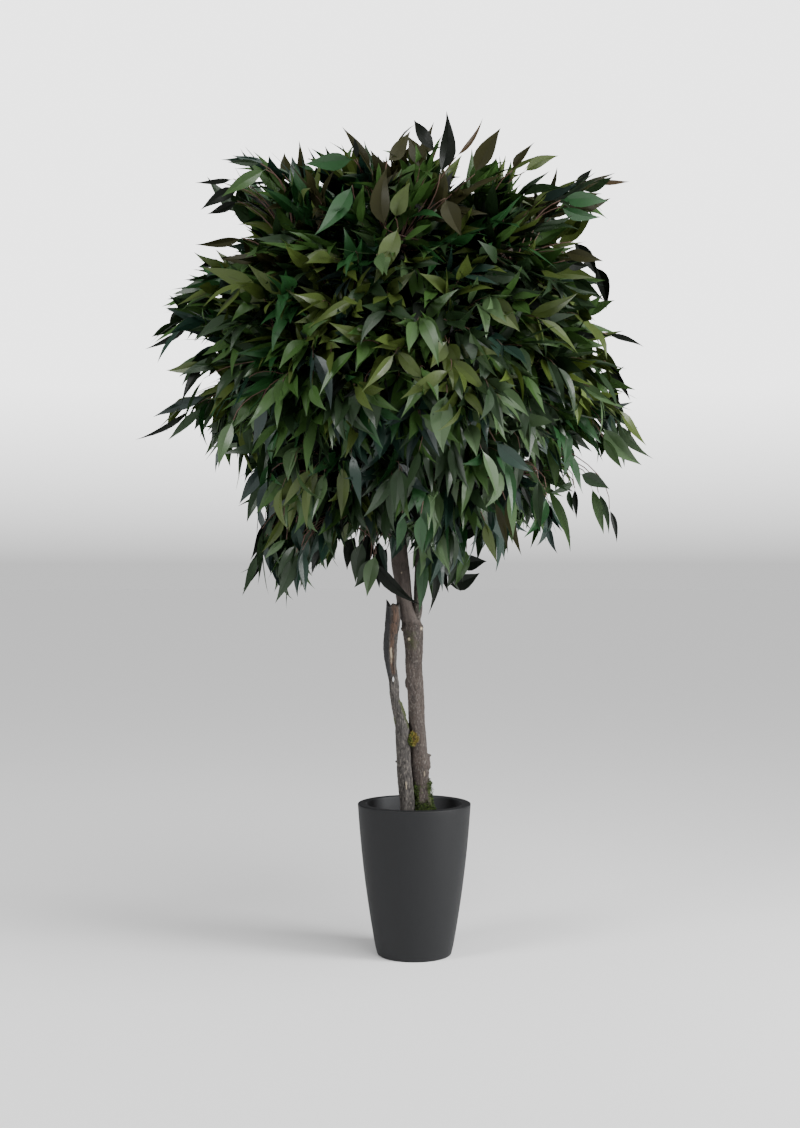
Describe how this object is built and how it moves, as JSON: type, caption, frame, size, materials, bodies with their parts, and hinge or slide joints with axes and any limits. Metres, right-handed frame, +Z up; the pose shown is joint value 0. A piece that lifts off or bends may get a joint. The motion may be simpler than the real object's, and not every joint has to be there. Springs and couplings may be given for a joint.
{
  "type": "potted eucalyptus tree",
  "caption": "Tall tapered planter with two stems side by side and a dense rounded crown of long pointed hanging leaves.",
  "frame": {"origin": "centre of the pot's flat underside, which stands on the ground", "axes": "+Z up along the pot's axis, -Y towards the tree's front, +X to the right seen from the front"},
  "size_m": [1.2929, 1.2941, 2.221],
  "materials": {
    "pot_plastic": "matt anthracite moulded plastic with a faint grain",
    "fill_soil": "rough dark cast filling",
    "bark": "rough grey brown bark",
    "moss": "dry tufted moss",
    "foliage": "waxy preserved leaves, half gloss"
  },
  "bodies": {
    "root": {"bough_flank_1": "bark", "bough_flank_2": "bark", "bough_flank_3": "bark", "bough_flank_4": "bark", "bough_flank_5": "bark", "bough_flank_6": "bark", "bough_flank_7": "bark", "bough_shoulder_1": "bark", "bough_shoulder_2": "bark", "bough_shoulder_3": "bark", "bough_shoulder_4": "bark", "bough_shoulder_5": "bark", "bough_shoulder_6": "bark", "bough_skirt_1": "bark", "bough_skirt_2": "bark", "bough_skirt_3": "bark", "bough_skirt_4": "bark", "bough_skirt_5": "bark", "bough_skirt_6": "bark", "crown_top": "foliage", "filling": "fill_soil", "flank_1": "foliage", "flank_2": "foliage", "flank_3": "foliage", "flank_4": "foliage", "flank_5": "foliage", "flank_6": "foliage", "flank_7": "foliage", "limb_right": "bark", "moss_cushion": "moss", "moss_tuft": "moss", "pot": "pot_plastic", "shoulder_1": "foliage", "shoulder_2": "foliage", "shoulder_3": "foliage", "shoulder_4": "foliage", "shoulder_5": "foliage", "shoulder_6": "foliage", "skirt_1": "foliage", "skirt_2": "foliage", "skirt_3": "foliage", "skirt_4": "foliage", "skirt_5": "foliage", "skirt_6": "foliage", "stem_left": "bark", "stem_main": "bark"}
  },
  "joints": []
}
